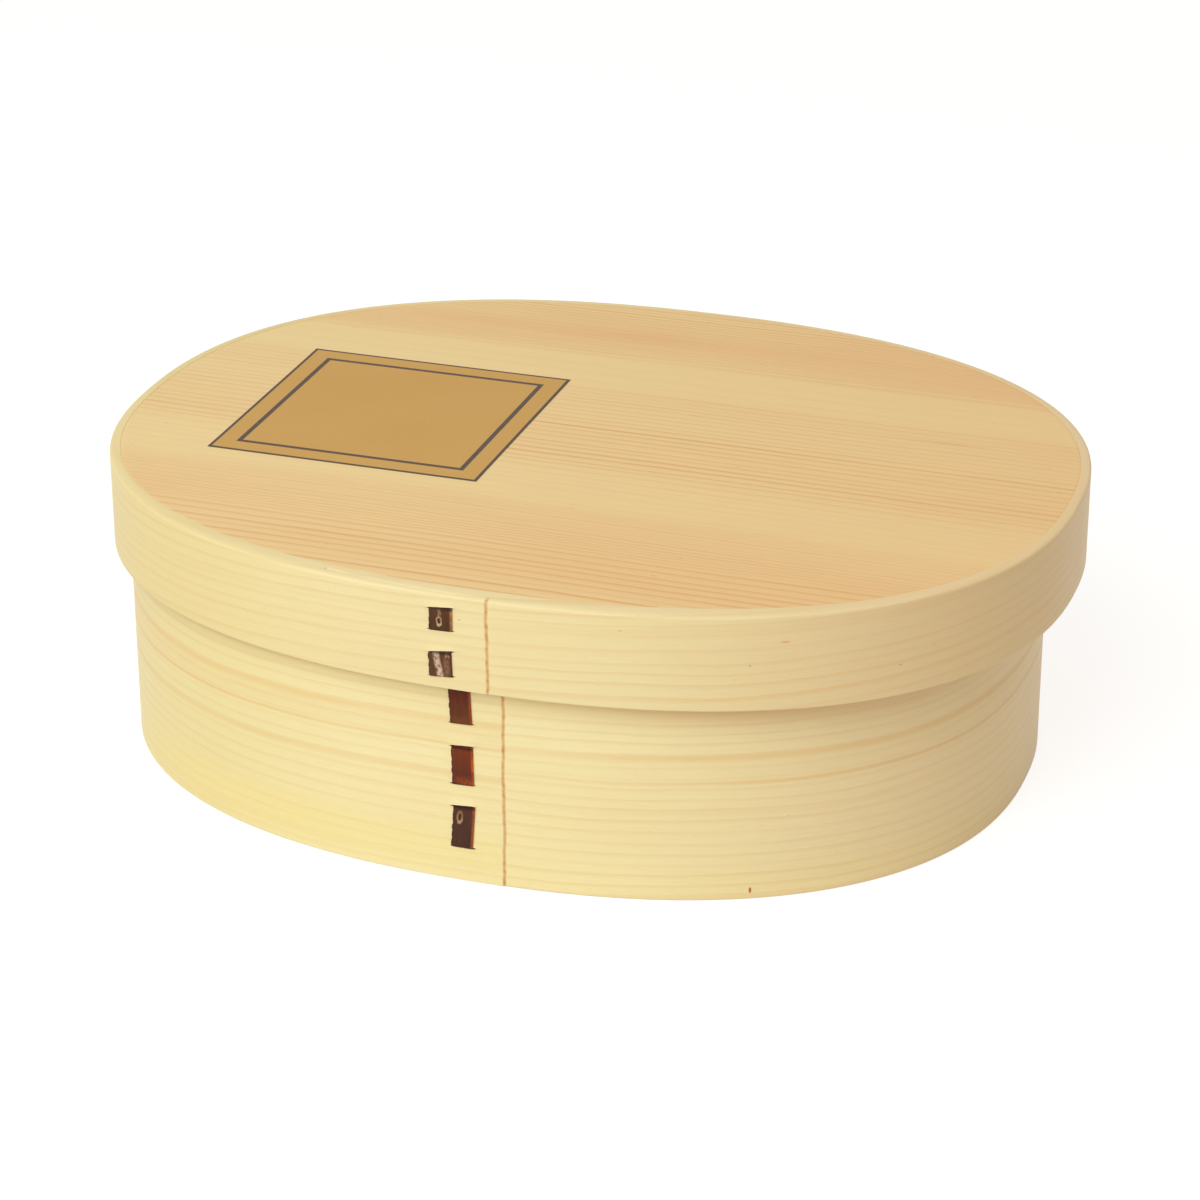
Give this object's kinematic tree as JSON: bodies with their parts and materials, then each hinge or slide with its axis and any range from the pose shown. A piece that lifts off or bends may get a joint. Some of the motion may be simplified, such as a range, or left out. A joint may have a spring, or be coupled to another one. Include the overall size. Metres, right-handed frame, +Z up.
{
  "type": "bentwood lunch box",
  "caption": "Oval bentwood lunch box with a loose overlapping lid, boards let into bent bands sewn with bark, a square paper label and a loose divider.",
  "frame": {"origin": "on the surface that the box stands on, under the middle of the lid with its stitches", "axes": "+X along the oval's length, towards the right as the stitched front is looked at; +Z up; -Y towards the stitched front"},
  "size_m": [0.175, 0.1398, 0.0543],
  "materials": {
    "band_wood": "smooth planed pale softwood, satin",
    "board_wood": "smooth planed softwood with close straight grain, satin",
    "inside_wood": "smooth planed pale softwood, matt",
    "bark": "polished cherry bark, glossy",
    "label_paper": "kraft paper, matt, with dark border lines"
  },
  "bodies": {
    "container": {"body_band": "band_wood", "base_board": "inside_wood", "body_bark_lacing": "bark"},
    "lid": {"lid_band": "band_wood", "lid_board": "board_wood", "lid_bark_lacing": "bark", "lid_label": "label_paper"},
    "divider": {"divider": "inside_wood"}
  },
  "joints": [
    {"name": "lid_lift", "type": "slide", "parent": "container", "child": "lid", "axis": [0, 0, 1], "range_m": [0, 0.12]},
    {"name": "divider_lift", "type": "slide", "parent": "container", "child": "divider", "axis": [0, 0, 1], "range_m": [0, 0.06]}
  ],
  "couplings": [
    {"joint": "divider_lift", "follows": "lid_lift", "ratio": 0.5}
  ]
}
